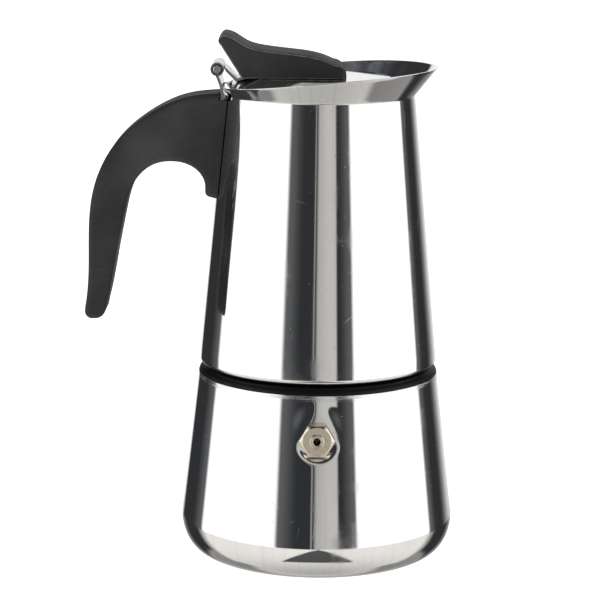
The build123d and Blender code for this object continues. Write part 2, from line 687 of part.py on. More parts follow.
knob_sections = [
    knob_face(-KNOB_HALF_W, 0), knob_face(0, KNOB_CROWN), knob_face(KNOB_HALF_W, 0)]
leaf_pocket = slab(
    KNOB_NOSE[0], LEAF_END_X + FREE_GAP, LEAF_HALF_W + FREE_GAP, LID_TOP_Z - LID_T,
    leaf_foot_z + STRIP_T + FREE_GAP)
with BuildPart() as lid_knob:
    add(knob_sections)
    loft()
    fillet(lid_knob.faces().sort_by(Axis.Y)[0].edges(), KNOB_ROUND)
    fillet(lid_knob.faces().sort_by(Axis.Y)[-1].edges(), KNOB_ROUND)
    with BuildSketch(Plane.XY.offset(KNOB_LOW_Z)) as knob_plan:
        with Locations((KNOB_TOE_X - KNOB_FRONT_R, 0)):
            Circle(KNOB_FRONT_R)
        with Locations((KNOB_TOE_X - KNOB_FRONT_R, 0)):
            Rectangle(2 * KNOB_FRONT_R, 2 * KNOB_HALF_W, mode=Mode.INTERSECT)
        fillet(knob_plan.vertices().sort_by(Axis.X)[-2:], KNOB_CORNER_R)
    extrude(amount=KNOB_HALF_W * 2, mode=Mode.INTERSECT)
    add(leaf_pocket, mode=Mode.SUBTRACT)
    for x, top_z in zip(KNOB_SCREW_X, KNOB_SCREW_TOP_Z):
        with BuildSketch(Plane.XY.offset(LID_TOP_Z - LID_T)):
            with Locations((x, 0)):
                Circle(KNOB_SCREW_R + PRESS_GAP)
        extrude(amount=top_z + FREE_GAP - LID_TOP_Z + LID_T, mode=Mode.SUBTRACT)
finish(lid_knob.part, "lid_knob")


# ---- handle with its welded strap and screw --------------------------------------------------
strap_plate = jug_plate(PRESS_GAP, STRIP_T, TAIL_HALF_W, *STRAP_Z)
strap_tongue = slab(*TONGUE_X, TONGUE_HALF_W, *TONGUE_Z)
with BuildPart() as handle_bracket:
    add(strap_plate)
    add(strap_tongue)
    with BuildSketch(Plane.XY.offset(TONGUE_Z[0])):
        with Locations((HANDLE_SCREW_X, 0)):
            Circle(HANDLE_SCREW_R + PRESS_GAP)
    extrude(amount=TONGUE_Z[1] - TONGUE_Z[0], mode=Mode.SUBTRACT)
finish(handle_bracket.part, "handle_bracket")

with BuildPart() as handle_screw:
    low_z, neck_z, tip_z = HANDLE_SCREW_Z
    with BuildSketch(Plane.XY.offset(low_z)):
        with Locations((HANDLE_SCREW_X, 0)):
            Circle(HANDLE_SCREW_HEAD_R)
    extrude(amount=neck_z - low_z)
    with BuildSketch(Plane.XY.offset(neck_z)):
        with Locations((HANDLE_SCREW_X, 0)):
            Circle(HANDLE_SCREW_R)
    extrude(amount=tip_z - neck_z)
    with BuildSketch(Plane.XY.offset(low_z)):
        with Locations((HANDLE_SCREW_X, 0)):
            SlotOverall(*HANDLE_SCREW_SLOT)
    extrude(amount=SLOT_DEPTH, mode=Mode.SUBTRACT)
finish(handle_screw.part, "handle_screw")

jug_space = turned(
    (0, BOILER_TOP_Z), (jug_r(BOILER_TOP_Z) + SHADOW_GAP, BOILER_TOP_Z),
    (CREASE_R + SHADOW_GAP, CREASE_Z), (CREASE_R + SHADOW_GAP, COLLAR_TRIM_Z), (0, COLLAR_TRIM_Z))
collar_notch = slab(HANDLE_NOTCH[0], 0, HINGE_HALF_W, HANDLE_NOTCH[1], COLLAR_TRIM_Z)
pocket_t = SHADOW_GAP + STRIP_T + FREE_GAP
tail_pocket = jug_plate(0, pocket_t, TAIL_HALF_W + FREE_GAP, TAIL_Z[0] - FREE_GAP, TAIL_Z[1])
strap_pocket = jug_plate(
    0, pocket_t, TAIL_HALF_W + FREE_GAP, STRAP_Z[0] - FREE_GAP, STRAP_Z[1] + FREE_GAP)
tongue_pocket = slab(
    TONGUE_X[0] - FREE_GAP, TONGUE_X[1], TONGUE_HALF_W + FREE_GAP, TONGUE_Z[0] - FREE_GAP,
    TONGUE_Z[1] + FREE_GAP)
with BuildPart() as handle:
    with BuildSketch(Plane.XZ) as grip_outline:
        with BuildLine():
            outer = Spline(*HANDLE_OUTER)
            inner = Spline(*HANDLE_INNER)
            Polyline(outer @ 1, *HANDLE_TIP, inner @ 0)
            Polyline(inner @ 1, *HANDLE_TOOTH, outer @ 0)
        make_face()
        for corner, radius in HANDLE_CORNERS:
            fillet(grip_outline.vertices().sort_by_distance(corner)[0], radius)
    extrude(amount=HANDLE_HALF_W, both=True)
    for side in (0, -1):
        long_edges = handle.faces().sort_by(Axis.Y)[side].edges().sort_by(Axis.X)[:-1]
        fillet(long_edges, HANDLE_ROUND)
    add(jug_space, mode=Mode.SUBTRACT)
    add(collar_notch, mode=Mode.SUBTRACT)
    add(tail_pocket, mode=Mode.SUBTRACT)
    add(strap_pocket, mode=Mode.SUBTRACT)
    add(tongue_pocket, mode=Mode.SUBTRACT)
    with BuildSketch(Plane.XY.offset(neck_z + SEAT_GAP)):
        with Locations((HANDLE_SCREW_X, 0)):
            Circle(HANDLE_SCREW_HEAD_R + FREE_GAP)
    extrude(amount=-HANDLE_SCREW_ACCESS, mode=Mode.SUBTRACT)
    with BuildSketch(Plane.XY.offset(neck_z)):
        with Locations((HANDLE_SCREW_X, 0)):
            Circle(HANDLE_SCREW_R + FREE_GAP)
    extrude(amount=tip_z + FREE_GAP - neck_z, mode=Mode.SUBTRACT)
finish(handle.part, "handle")
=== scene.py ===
import json
import math

import bmesh
import bpy
from mathutils import Matrix, Vector


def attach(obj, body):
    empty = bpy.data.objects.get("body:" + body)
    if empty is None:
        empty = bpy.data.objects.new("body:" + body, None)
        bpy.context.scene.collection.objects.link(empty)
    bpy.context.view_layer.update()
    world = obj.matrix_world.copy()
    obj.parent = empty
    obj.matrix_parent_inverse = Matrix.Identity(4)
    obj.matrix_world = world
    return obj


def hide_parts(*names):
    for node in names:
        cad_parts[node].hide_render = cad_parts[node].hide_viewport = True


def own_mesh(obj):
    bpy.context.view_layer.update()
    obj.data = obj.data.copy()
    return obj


# Polished steel moka pot on a white studio sweep. Metres, the row frame: +Z up, handle at -X,
# pouring lip at +X, safety valve facing -Y, where the camera stands.

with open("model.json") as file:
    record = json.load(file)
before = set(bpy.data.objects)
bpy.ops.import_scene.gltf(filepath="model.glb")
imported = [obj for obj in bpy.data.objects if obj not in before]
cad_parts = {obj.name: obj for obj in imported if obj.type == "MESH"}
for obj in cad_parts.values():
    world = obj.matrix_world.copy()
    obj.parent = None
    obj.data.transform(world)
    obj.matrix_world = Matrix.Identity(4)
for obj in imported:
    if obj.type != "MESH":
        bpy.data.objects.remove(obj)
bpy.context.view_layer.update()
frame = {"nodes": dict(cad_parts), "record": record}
scene = bpy.context.scene
scene.view_settings.view_transform = "Standard"
scene.view_settings.look = "None"

MM = 0.001
WALL = 0.8                             # drawn sheet
VALVE_Z = 51.5                         # height of the safety valve's axis
HINGE_XZ = (-0.0368, 0.1777)           # lid hinge's pin, along Y


# ---- camera ----------------------------------------------------------------------------------
CAMERA_AT = (0.0, -0.8339, 0.2557)
CAMERA_TILT = math.radians(11.07)      # looking down
CAMERA_YAW = -0.0081
CAMERA_ROLL = 0.0084
CAMERA_LENS = 139.1


def add_camera():
    camera = bpy.data.objects.new("camera", bpy.data.cameras.new("camera"))
    scene.collection.objects.link(camera)
    camera.data.lens = CAMERA_LENS
    camera.data.sensor_width = 36.0
    camera.data.clip_start = 0.01
    camera.data.clip_end = 20.0
    yaw = Matrix.Rotation(-CAMERA_YAW, 4, "Z")
    tilt = Matrix.Rotation(math.pi / 2 - CAMERA_TILT, 4, "X")
    roll = Matrix.Rotation(CAMERA_ROLL, 4, "Z")
    camera.matrix_world = Matrix.Translation(CAMERA_AT) @ (yaw @ tilt) @ roll
    scene.camera = camera


add_camera()


# ---- small helpers for node materials ----------------------------------------------------------
class Graph:
    """A node tree with short calls for the nodes used here."""

    def __init__(self, tree):
        self.tree = tree
        tree.nodes.clear()

    def node(self, kind, inputs=None, **settings):
        made = self.tree.nodes.new(kind)
        for name, value in settings.items():
            setattr(made, name, value)
        for name, value in (inputs or {}).items():
            socket = made.inputs[name]
            if isinstance(value, bpy.types.NodeSocket):
                self.tree.links.new(value, socket)
            else:
                socket.default_value = value
        return made

    def math(self, operation, a, b=0.0, c=0.0):
        return self.node("ShaderNodeMath", {0: a, 1: b, 2: c}, operation=operation).outputs[0]

    def ramp(self, value, low, high, to_low=0.0, to_high=1.0):
        inputs = {"Value": value, 1: low, 2: high, 3: to_low, 4: to_high}
        made = self.node("ShaderNodeMapRange", inputs, interpolation_type="SMOOTHSTEP")
        return made.outputs[0]


# ---- studio: tall softboxes left and right, a pale card by the camera, a sweep behind -----------
DEGREE = math.pi / 180
WHITE = (1.0, 1.0, 1.0, 1)
WARM = (1.0, 0.972, 0.935, 1)
COOL = (0.90, 0.96, 1.06, 1)
GLOOM = 0.033                          # unlit room
# each card: from and to in degrees round the pot (0 is the camera's side, + the lip's side),
# softness of its two edges in degrees, and its brightness
SOFTBOXES = (
    (-112.5, -34.5, 5, 5, 1.12),       # left softbox
    (-122, -25, 18, 18, 0.09),         # its glow on the wall beside it
    (34.4, 111, 4, 4, 1.14),           # right softbox
    (27, 118, 14, 10, 0.09),           # its glow
)
PALE_CARD = (
    (-1.6, 18.2, 3.4, 2.5, 0.40),
    (4, 18.2, 16, 2.5, 0.13),
    (-4.9, -3.5, 0.8, 0.8, 0.26),      # a thin stand beside it
)
SWEEP = (
    (152, 204, 38, 8, 0.88),           # curved backdrop, its right part falls off slowly
    (-204, -161, 8, 7, 0.88),
)
TOP_EDGE = (26, 44)                    # degrees up where the cards end and the dark ceiling starts
OVERHEAD = (77, 82)                    # degrees up where a small lamp overhead begins
OVERHEAD_LEVEL = 1.5
CLUTTER = (0.11, 42, 56)               # faint shapes on the ceiling: brightness, where they begin
FLOOR_EDGE = (-17, -13)                # degrees where the bright floor gives way to the cards
SHADE_HALF_W = 38                      # the pot's own shade on the floor in front, a flat triangle
SHADE_REACH = (-49, -17)
SHADE_TURN = 2.0
SHADE_DEPTH = 0.93
FLOOR_LEVEL = (0.42, 0.86)             # floor's brightness straight below and at its far end
# the floor behind the pot lies in the dark room: degrees round where that begins, lower down and
# further out, degrees up where each part begins, and how dark the lower part is
FAR_LOW = ((107, 119), (-68, -59), 0.67)
FAR_HIGH = ((108, 124), (-46, -34))
FAR_LOW_WIDER = (10.0, -58, -50)       # degrees by which its lower end is wider, and where
FAR_FADE = (146, 168, 0.6)             # it is lighter right behind


def add_world():
    world = bpy.data.worlds.new("studio")
    scene.world = world
    world.use_nodes = True
    g = Graph(world.node_tree)
    way = g.node("ShaderNodeTexCoord").outputs["Generated"]
    axes = g.node("ShaderNodeSeparateXYZ", {0: way}).outputs
    away = g.math("MULTIPLY", axes[1], -1.0)
    round_it = g.math("MULTIPLY", g.math("ARCTAN2", axes[0], away), 1 / DEGREE)
    aside = g.math("ABSOLUTE", round_it)
    up = g.math("MULTIPLY", g.math("ARCSINE", axes[2]), 1 / DEGREE)

    def light(cards, within, color):
        total = 0.0
        for start, end, soft_a, soft_b, level in cards:
            inside = g.math(
                "MULTIPLY", g.ramp(round_it, start - soft_a / 2, start + soft_a / 2),
                g.ramp(round_it, end - soft_b / 2, end + soft_b / 2, 1.0, 0.0))
            total = g.math("MULTIPLY_ADD", inside, level, total)
        return background(g.math("MULTIPLY", total, within), color)

    def background(strength, color):
        return g.node("ShaderNodeBackground", {"Color": color, "Strength": strength}).outputs[0]

    def both(a, b):
        return g.node("ShaderNodeAddShader", {0: a, 1: b}).outputs[0]

    above_floor = g.ramp(up, *FLOOR_EDGE)
    band = g.math("MULTIPLY", above_floor, g.ramp(up, *TOP_EDGE, 1.0, 0.0))
    half_w = g.node("ShaderNodeMapRange", {
        "Value": up, 1: SHADE_REACH[0], 2: SHADE_REACH[1], 3: SHADE_HALF_W, 4: 1.0}).outputs[0]
    off_middle = g.math("ABSOLUTE", g.math("SUBTRACT", round_it, SHADE_TURN))
    shade = g.ramp(g.math("SUBTRACT", off_middle, half_w), -2, 2, 1.0, 0.0)
    shade = g.math("MULTIPLY", shade, g.ramp(up, SHADE_REACH[0] - 2, SHADE_REACH[0] + 1))
    wider = g.math("ADD", aside, g.ramp(up, *FAR_LOW_WIDER[1:], FAR_LOW_WIDER[0], 0.0))
    low = g.math("MULTIPLY", g.ramp(wider, *FAR_LOW[0]), g.ramp(up, *FAR_LOW[1]))
    high = g.math("MULTIPLY", g.ramp(aside, *FAR_HIGH[0]), g.ramp(up, *FAR_HIGH[1]))
    far = g.math("MULTIPLY", g.math("MAXIMUM", g.math("MULTIPLY", low, FAR_LOW[2]), high),
                 g.ramp(aside, *FAR_FADE[:2], 1.0, FAR_FADE[2]))
    lit = g.math("SUBTRACT", 1.0, g.math("MAXIMUM", g.math("MULTIPLY", shade, SHADE_DEPTH), far))
    floor_level = g.math("MULTIPLY", lit, g.ramp(up, -90, -24, *FLOOR_LEVEL))
    floor_level = g.math("MULTIPLY", floor_level, g.ramp(up, *FLOOR_EDGE, 1.0, 0.0))
    studio = both(light(SOFTBOXES, band, WHITE), light(PALE_CARD, band, WARM))
    studio = both(studio, light(SWEEP, band, WHITE))
    studio = both(studio, background(floor_level, WARM))
    clutter = g.node("ShaderNodeTexNoise", {"Vector": way, "Scale": 4.5, "Detail": 3.0}).outputs[0]
    ceiling = g.math(
        "MULTIPLY", g.ramp(clutter, 0.38, 0.66, 0.0, CLUTTER[0]), g.ramp(up, *CLUTTER[1:]))
    studio = both(studio, background(g.math("ADD", ceiling, GLOOM), COOL))
    lamp = g.math("MULTIPLY", g.ramp(up, *OVERHEAD), OVERHEAD_LEVEL)
    studio = both(studio, background(lamp, WHITE))
    seen = g.node("ShaderNodeLightPath").outputs["Is Camera Ray"]
    room = g.node("ShaderNodeMixShader", {0: seen, 1: studio, 2: background(1.0, WHITE)})
    g.node("ShaderNodeOutputWorld", {"Surface": room.outputs[0]})


add_world()


# ---- floor -----------------------------------------------------------------------------------
FLOOR_SIZE = 8.0
FLOOR_DROP = 0.0002                    # keeps it off the pot's bottom


def add_floor():
    mesh = bpy.data.meshes.new("floor")
    shape = bmesh.new()
    bmesh.ops.create_grid(shape, x_segments=8, y_segments=8, size=FLOOR_SIZE)
    shape.to_mesh(mesh)
    shape.free()
    floor = bpy.data.objects.new("floor", mesh)
    scene.collection.objects.link(floor)
    floor.location.z = -FLOOR_DROP
    material = bpy.data.materials.new("floor")
    material.use_nodes = True
    g = Graph(material.node_tree)
    inputs = {"Base Color": (0.9, 0.9, 0.9, 1), "Roughness": 0.6, "Emission Color": (1, 1, 1, 1),
              "Emission Strength": 1.0}
    shader = g.node("ShaderNodeBsdfPrincipled", inputs)
    g.node("ShaderNodeOutputMaterial", {"Surface": shader.outputs[0]})
    mesh.materials.append(material)
    floor.visible_glossy = False


add_floor()


# ---- materials -------------------------------------------------------------------------------
MEAN_R = 0.042                         # turns an angle round the pot into metres along its side


class Surface(Graph):
    """A principled material with wear laid over it, all measured in metres on the piece itself."""

    def __init__(self, name, color, metallic, roughness, **more):
        self.material = bpy.data.materials.new(name)
        self.material.use_nodes = True
        super().__init__(self.material.node_tree)
        self.shader = self.node("ShaderNodeBsdfPrincipled", {
            "Base Color": (*color, 1), "Metallic": metallic, "Roughness": roughness, **more})
        self.node("ShaderNodeOutputMaterial", {"Surface": self.shader.outputs[0]})
        self.place = self.node("ShaderNodeTexCoord").outputs["Object"]
        x, y, z = self.node("ShaderNodeSeparateXYZ", {0: self.place}).outputs
        self.axes = (x, y, z)
        self.roughness = roughness
        self.normal = None

    def noise(self, scale, detail=2.0, at=None, roughness=0.5):
        inputs = {"Vector": self.place if at is None else at, "Scale": scale, "Detail": detail,
                  "Roughness": roughness}
        return self.node("ShaderNodeTexNoise", inputs).outputs[0]

    def specks(self, scale, size):
        """Scattered round specks, 1 inside them."""
        inputs = {"Vector": self.place, "Scale": scale, "Randomness": 1.0}
        cells = self.node("ShaderNodeTexVoronoi", inputs)
        parts = self.node("ShaderNodeSeparateColor", {0: cells.outputs["Color"]}).outputs
        chosen = self.ramp(parts[0], 0.66, 0.7)
        spot = self.ramp(cells.outputs["Distance"], size * 0.5, size, 1.0, 0.0)
        return self.math("MULTIPLY", spot, chosen)

    def length(self, a, b):
        return self.math("SQRT", self.math("MULTIPLY_ADD", a, a, self.math("MULTIPLY", b, b)))

    def at(self, a, b):
        return self.node("ShaderNodeCombineXYZ", {0: a, 1: b, 2: 0.0}).outputs[0]

    def turned(self, along, across):
        """Coordinates that run round the pot's axis: stretched along the turn, fine across it."""
        x, y, z = self.axes
        turn = self.math("ARCTAN2", y, x)
        around = self.math("MULTIPLY", turn, MEAN_R * along)
        side = self.math("MULTIPLY", self.math("ADD", z, self.length(x, y)), across)
        return self.at(around, side)

    def drawn(self, degrees, along, across):
        """Coordinates stretched along one slanting direction of the pot's side."""
        x, y, z = self.axes
        turn = self.math("MULTIPLY", self.math("ARCTAN2", y, x), MEAN_R)
        c, s = math.cos(math.radians(degrees)), math.sin(math.radians(degrees))
        run = self.math("ADD", self.math("MULTIPLY", turn, c), self.math("MULTIPLY", z, s))
        off = self.math("SUBTRACT", self.math("MULTIPLY", z, c), self.math("MULTIPLY", turn, s))
        return self.at(self.math("MULTIPLY", run, along), self.math("MULTIPLY", off, across))

    def rougher(self, mask, amount):
        self.roughness = self.math("MULTIPLY_ADD", mask, amount, self.roughness)
        self.tree.links.new(self.roughness, self.shader.inputs["Roughness"])

    def relief(self, height, depth):
        """Raises the surface by depth metres where height is 1."""
        inputs = {"Height": height, "Strength": 1.0, "Distance": depth}
        if self.normal is not None:
            inputs["Normal"] = self.normal
        self.normal = self.node("ShaderNodeBump", inputs).outputs[0]
        self.tree.links.new(self.normal, self.shader.inputs["Normal"])

    def soften(self, radius):
        """Rounds the piece's edges for the light only."""
        self.normal = self.node("ShaderNodeBevel", {"Radius": radius}, samples=4).outputs[0]
        self.tree.links.new(self.normal, self.shader.inputs["Normal"])

    def tint(self, mask, color, other):
        """Goes from the first colour to the other where the mask is 1."""
        self.mix(mask, (*color, 1), other)

    def stain(self, mask, color):
        """Lays a further colour over the tint."""
        self.mix(mask, self.shader.inputs["Base Color"].links[0].from_socket, color)

    def mix(self, mask, under, over):
        inputs = {0: mask, 6: under, 7: (*over, 1)}
        mixed = self.node("ShaderNodeMix", inputs, data_type="RGBA")
        self.tree.links.new(mixed.outputs[2], self.shader.inputs["Base Color"])


def darker(color, *shares):
    return tuple(c * share for c, share in zip(color, shares * 3))


def polished(name, color, roughness):
    """Buffed sheet: nearly a mirror, with hairlines, wiping marks, handling smudges and pits."""
    m = Surface(name, color, 1.0, roughness)
    m.relief(m.noise(24, 1.0), 7e-5)
    m.relief(m.noise(1, 2.0, m.turned(60, 2600)), 2.4e-7)
    m.rougher(m.ramp(m.noise(55, 5.0, roughness=0.62), 0.50, 0.74), 0.13)
    m.rougher(m.ramp(m.noise(1, 3.0, m.drawn(90, 9, 700)), 0.50, 0.72), 0.05)
    m.rougher(m.ramp(m.noise(1, 1.0, m.turned(36, 1400)), 0.60, 0.74), 0.035)
    hairs = None
    for slant, along, across, rare in (
            (82, 55, 1900, 0.735), (-14, 45, 2100, 0.745), (37, 60, 1700, 0.755)):
        hair = m.ramp(m.noise(1, 1.5, m.drawn(slant, along, across)), rare, rare + 0.03)
        hairs = hair if hairs is None else m.math("MAXIMUM", hairs, hair)
    m.rougher(hairs, 0.22)
    m.relief(hairs, -2.5e-6)
    # the ring round the boiler's top that the jug's edge has scoured
    ring = m.math("MULTIPLY", m.ramp(m.axes[2], 0.0642, 0.0662),
                  m.ramp(m.axes[2], 0.0668, 0.0672, 1.0, 0.0))
    scour = m.math("MULTIPLY", ring, m.ramp(m.noise(1, 3.0, m.turned(70, 3000)), 0.42, 0.6))
    m.rougher(scour, 0.34)
    m.relief(scour, -4e-6)
    pits = m.specks(330, 0.10)
    m.rougher(pits, 0.25)
    film = m.ramp(m.noise(38, 4.0, roughness=0.6), 0.42, 0.8)
    streaks = m.ramp(m.noise(1, 3.0, m.drawn(90, 5, 420)), 0.46, 0.74)
    worn = m.math("MAXIMUM", m.math("MULTIPLY", film, 0.22), m.math("MULTIPLY", pits, 0.8))
    worn = m.math("MAXIMUM", worn, m.math("MULTIPLY", streaks, 0.26))
    m.tint(worn, color, darker(color, 0.66))
    return m.material


def brushed(name, color, roughness, depth=1.2e-6):
    """Spun or brushed sheet with fine turning lines and duller patches."""
    m = Surface(name, color, 1.0, roughness, Anisotropic=0.35)
    lines = m.noise(1, 3.0, m.turned(30, 5200))
    m.relief(lines, depth)
    m.rougher(m.ramp(lines, 0.4, 0.7), 0.08)
    patches = m.ramp(m.noise(90, 4.0), 0.45, 0.7)
    m.rougher(patches, 0.10)
    m.tint(patches, color, darker(color, 0.86))
    return m.material


def pressed(name, color, roughness, radius=0.00025, pivot=None):
    """Small stamped or machined metal parts: softened edges, fine grain, rubbed corners, and
    painted shade in a dark ring round the pivot, where the gap round the pin lies; the pivot runs
    along Y through an (x, z) point."""
    m = Surface(name, color, 1.0, roughness)
    m.soften(radius)
    m.relief(m.noise(900, 4.0), 9e-7)
    scuffs = m.ramp(m.noise(1, 2.0, m.drawn(24, 120, 2600)), 0.62, 0.7)
    m.rougher(scuffs, 0.14)
    dull = m.ramp(m.noise(260, 4.0), 0.45, 0.72)
    m.rougher(dull, 0.12)
    grime = m.specks(900, 0.16)
    m.tint(m.math("MAXIMUM", m.math("MULTIPLY", dull, 0.3), grime), color, darker(color, 0.6))
    if pivot:
        aside = m.math("SUBTRACT", m.axes[0], pivot[0])
        above = m.math("SUBTRACT", m.axes[2], pivot[1])
        reach = m.length(aside, above)
        # painted shade: a dark ring round the hinge pin where the gap round it lies
        pin_gap_shade = m.math("MULTIPLY", m.ramp(reach, 0.00140, 0.00150),
                     m.ramp(reach, 0.00180, 0.00205, 1.0, 0.0))
        m.rougher(pin_gap_shade, 0.2)
        m.stain(m.math("MULTIPLY", pin_gap_shade, 0.93), (0.03, 0.028, 0.026))
    return m.material


# worn is the lighter colour for dust, wiping marks, flow shades and the painted edge highlight
def moulded(name, color, worn, roughness):
    """Moulded phenolic plastic: fine grain, faint flow shades, wiping marks, a little dust and a
    painted highlight along the knob's edges.
    """
    m = Surface(name, color, 0.0, roughness, **{"Specular IOR Level": 0.14})
    m.relief(m.noise(2600, 3.0), 5e-6)
    m.relief(m.noise(210, 3.0), 5e-6)
    marks = m.ramp(m.noise(1, 2.0, m.drawn(62, 110, 3000)), 0.64, 0.72)
    m.relief(marks, -2e-6)
    m.rougher(m.ramp(m.noise(120, 5.0, roughness=0.6), 0.4, 0.7), 0.08)
    dust = m.specks(650, 0.085)
    flow = m.ramp(m.noise(34, 5.0), 0.35, 0.75)
    light = m.math("MAXIMUM", m.math("MULTIPLY", flow, 0.09), m.math("MULTIPLY", marks, 0.09))
    # painted highlight along the knob's edges, where the surface turns between side and top
    facing = m.node("ShaderNodeTexCoord").outputs["Normal"]
    turns = m.node("ShaderNodeSeparateXYZ", {0: facing}).outputs
    sideways = m.math("ABSOLUTE", turns[1])
    edge = m.math("MULTIPLY", m.ramp(sideways, 0.45, 0.65), m.ramp(sideways, 0.80, 0.95, 1.0, 0.0))
    edge = m.math("MULTIPLY", edge, m.ramp(m.math("ABSOLUTE", turns[2]), 0.2, 0.4))
    edge = m.math("MULTIPLY", edge, m.ramp(m.noise(420, 3.0), 0.3, 0.6, 0.45, 1.0))
    edge = m.math("MULTIPLY", edge, m.ramp(m.axes[2], 0.172, 0.176, 0.0, 0.8))
    # the lighter tones here include the painted edge highlight
    light = m.math("MAXIMUM", light, edge)
    m.tint(m.math("MAXIMUM", light, m.math("MULTIPLY", dust, 0.45)), color, worn)
    return m.material


def lathed(name, color, roughness):
    """Plated brass turned on a lathe: rings round the valve's axis, rubbed plating, clean edges."""
    m = Surface(name, color, 1.0, roughness)
    m.soften(0.00022)
    radius = m.length(m.axes[0], m.math("SUBTRACT", m.axes[2], VALVE_Z * MM))
    m.relief(m.noise(1, 2.0, m.at(m.math("MULTIPLY", radius, 9000.0), 0.0)), 7e-7)
    m.relief(m.noise(1500, 3.0), 5e-7)
    rubbed = m.ramp(m.noise(420, 4.0), 0.5, 0.75)
    m.rougher(rubbed, 0.1)
    m.tint(m.math("MULTIPLY", rubbed, 0.5), color, darker(color, 0.9, 0.82, 0.66))
    return m.material


def rubbery(name, color, roughness):
    """Moulded silicone: slightly see-through, grainy, stained by coffee."""
    m = Surface(
        name, color, 0.0, roughness, **{"Subsurface Weight": 0.25, "Subsurface Scale": 0.002})
    m.soften(0.0003)
    m.relief(m.noise(1400, 3.0), 8e-6)
    stain = m.ramp(m.noise(110, 4.0), 0.45, 0.75)
    m.rougher(stain, 0.15)
    m.tint(stain, color, darker(color, 0.9, 0.82, 0.7))
    return m.material


MATERIALS = {
    "polished_steel": polished("polished_steel", (0.905, 0.9, 0.89), 0.035),
    "satin_steel": brushed("satin_steel", (0.66, 0.655, 0.645), 0.26),
    "hinge_steel": pressed("hinge_steel", (0.55, 0.545, 0.535), 0.10, 0.00014, HINGE_XZ),
    "fastener_steel": pressed("fastener_steel", (0.60, 0.60, 0.605), 0.22),
    "spring_steel": pressed("spring_steel", (0.50, 0.50, 0.515), 0.28, 0.00008),
    "nickel_brass": lathed("nickel_brass", (0.80, 0.725, 0.585), 0.17),
    "black_plastic": moulded("black_plastic", (0.032, 0.032, 0.0325), (0.36, 0.36, 0.35), 0.52),
    "seal_silicone": rubbery("seal_silicone", (0.80, 0.78, 0.72), 0.45),
}
# painted shade: parts given near-black colours where only shade should show
SHADE_PAINTED = {
    "boiler_neck": brushed("neck_shade_painted", (0.03, 0.029, 0.03), 0.42),     # painted shade: near-black steel standing in for the shadow gap between jug and boiler
    # painted shade: the poppet is made nearly black so the vent hole in front of it reads dark
    "valve_poppet": lathed("poppet_shade_painted", (0.06, 0.05, 0.038), 0.4),
}
for row in frame["record"]["subparts"]:
    surface = SHADE_PAINTED.get(row["node"]) or MATERIALS[row["material_slot"]]
    materials = frame["nodes"][row["node"]].data.materials
    materials.clear()
    materials.append(surface)


# ---- thin-walled shells with finer surfaces than the frame's own -----------------------------
def arc(centre, across, upright, start, end, steps):
    """Corners along an upright ellipse, angles in degrees."""
    turns = [math.radians(start + (end - start) * i / steps) for i in range(steps + 1)]
    return [(centre[0] + across * math.cos(t), centre[1] + upright * math.sin(t)) for t in turns]


def line(a, b, step=None, count=None):
    """Corners from a up to but not including b, about step apart or count of them."""
    count = count or max(1, round(math.dist(a, b) / step))
    run, rise = b[0] - a[0], b[1] - a[1]
    return [(a[0] + run * i / count, a[1] + rise * i / count) for i in range(count)]


def bent(a, corner, b, steps=5):
    """Corners along a small rounding from a to b whose sides meet at corner."""
    points = []
    for i in range(steps + 1):
        t = i / steps
        points.append(tuple(
            (1 - t) ** 2 * a[k] + 2 * t * (1 - t) * corner[k] + t * t * b[k] for k in (0, 1)))
    return points


def toward(a, b, distance):
    """The corner at this distance from a on the way to b."""
    part = distance / math.dist(a, b)
    return (a[0] + (b[0] - a[0]) * part, a[1] + (b[1] - a[1]) * part)


def spin(name, outline, columns, closed):
    """Mesh of revolution about Z. outline(turn) gives (radius, height) corners in millimetres."""
    shape = bmesh.new()
    rings = []
    for turn in columns:
        rings.append([
            shape.verts.new((r * math.cos(turn) * MM, r * math.sin(turn) * MM, z * MM))
            for r, z in outline(turn)])
    rows = len(rings[0])
    for i, ring in enumerate(rings):
        following = rings[(i + 1) % len(rings)]
        for j in range(rows if closed else rows - 1):
            k = (j + 1) % rows
            shape.faces.new((ring[j], following[j], following[k], ring[k]))
    bmesh.ops.remove_doubles(shape, verts=shape.verts, dist=1e-8)
    bmesh.ops.recalc_face_normals(shape, faces=shape.faces)
    mesh = bpy.data.meshes.new(name)
    shape.to_mesh(mesh)
    shape.free()
    piece = bpy.data.objects.new(name, mesh)
    scene.collection.objects.link(piece)
    return piece


def cut(piece, shape):
    """Takes the closed shape out of the piece."""
    mesh = bpy.data.meshes.new("cutter")
    shape.to_mesh(mesh)
    shape.free()
    cutter = bpy.data.objects.new("cutter", mesh)
    scene.collection.objects.link(cutter)
    modifier = piece.modifiers.new("cut", "BOOLEAN")
    modifier.operation = "DIFFERENCE"
    modifier.solver = "EXACT"
    modifier.object = cutter
    bpy.context.view_layer.update()
    evaluated = piece.evaluated_get(bpy.context.evaluated_depsgraph_get())
    done = bpy.data.meshes.new_from_object(evaluated)
    piece.modifiers.clear()
    piece.data = done
    bpy.data.objects.remove(cutter)


def settle(piece, node, body, slot_name, sharp=28):
    """Gives the piece its material, hides the node it stands in for and hangs it on the body it
    rides.
    """
    for polygon in piece.data.polygons:
        polygon.use_smooth = True
    piece.data.set_sharp_from_angle(angle=math.radians(sharp))
    piece.data.materials.clear()
    piece.data.materials.append(MATERIALS[slot_name])
    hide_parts(node)
    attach(piece, body)


# boiler: bottom, elliptical foot, crease, cone and welded edge
FOOT_R, FOOT_ROUND, WIDEST = 41.4, 8.5, (49.9, 13.0)
CONE_TOP = (43.7, 66.9)
CONE_SLOPE = (WIDEST[0] - CONE_TOP[0]) / (CONE_TOP[1] - WIDEST[1])
WELD_EDGE = (42.927, 66.693)
LAND_OUT = 45.0
LAND_R = 5.6                           # the pressed flat's radius
LAND_END_R = 9.2                       # where its slopes run out
LAND_END_EXTRA = 5.8                   # how much further that is above it
VALVE_HOLE_R = 4.05


